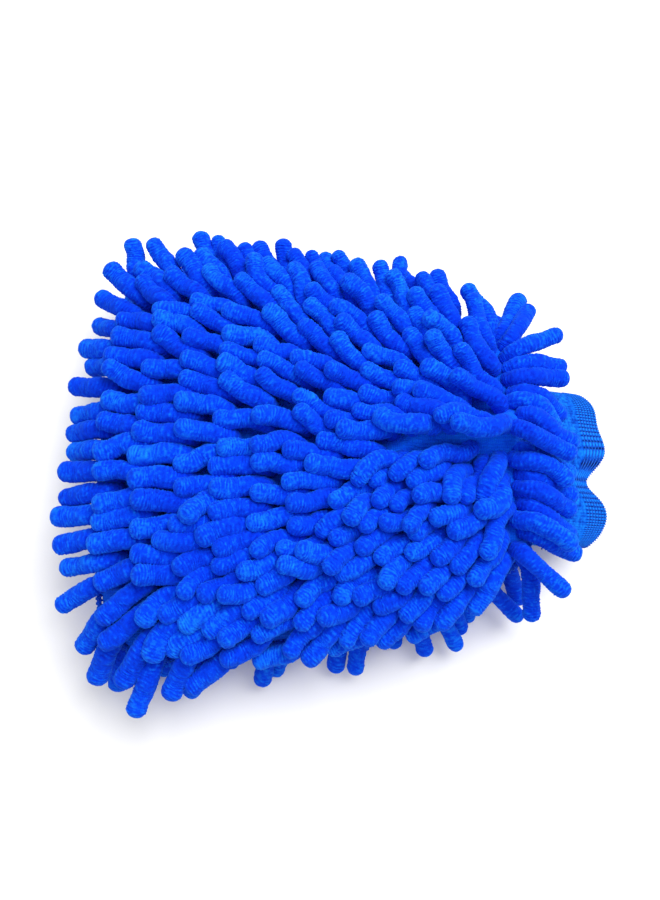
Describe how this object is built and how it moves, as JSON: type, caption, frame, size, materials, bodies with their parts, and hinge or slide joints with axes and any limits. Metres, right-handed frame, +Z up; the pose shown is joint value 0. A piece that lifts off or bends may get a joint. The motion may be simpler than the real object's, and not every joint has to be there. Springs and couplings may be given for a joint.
{
  "type": "wash mitt",
  "caption": "Soft chenille car wash mitt: a hand-sized bag covered on both faces in long noodle pile, with a lined pocket and a short elastic knitted cuff.",
  "frame": {"origin": "bottom centre of the bounding box: on the ground under the middle of the mitt as it lies flat", "axes": "+X from the finger end towards the cuff's mouth, +Y to the hand's side edge, +Z up out of the top panel"},
  "size_m": [0.2435, 0.2083, 0.0699],
  "materials": {
    "noodle_pile": "fuzzy matte chenille",
    "backing": "matte knit",
    "lining": "matte mesh knit",
    "cuff_knit": "matte ribbed knit",
    "seam_thread": "matte thread",
    "elastic_thread": "matte covered elastic thread"
  },
  "bodies": {
    "mitt": {"top_panel": "backing", "bottom_panel": "backing", "side_seam": "seam_thread", "top_lining": "lining", "bottom_lining": "lining", "lining_seam": "seam_thread", "wrist_seam": "seam_thread", "wrist_noodles_top": "noodle_pile", "wrist_noodles_bottom": "noodle_pile", "top_noodles_1": "noodle_pile", "top_noodles_2": "noodle_pile", "top_noodles_3": "noodle_pile", "top_noodles_4": "noodle_pile", "top_noodles_5": "noodle_pile", "top_noodles_6": "noodle_pile", "top_noodles_7": "noodle_pile", "top_noodles_8": "noodle_pile", "top_noodles_9": "noodle_pile", "top_noodles_10": "noodle_pile", "top_noodles_11": "noodle_pile", "bottom_noodles_1": "noodle_pile", "bottom_noodles_2": "noodle_pile", "bottom_noodles_3": "noodle_pile", "bottom_noodles_4": "noodle_pile", "bottom_noodles_5": "noodle_pile", "bottom_noodles_6": "noodle_pile", "bottom_noodles_7": "noodle_pile", "bottom_noodles_8": "noodle_pile", "bottom_noodles_9": "noodle_pile", "bottom_noodles_10": "noodle_pile", "bottom_noodles_11": "noodle_pile"},
    "cuff": {"cuff_band": "cuff_knit", "cuff_edging": "seam_thread", "cuff_side_seam": "seam_thread", "elastic_thread_rows": "elastic_thread"}
  },
  "joints": [
    {"name": "cuff_fold", "type": "hinge", "parent": "mitt", "child": "cuff", "pos_m": [0.08, 0, 0.031], "axis": [0, -1, 0], "range_deg": [0, 35]}
  ]
}
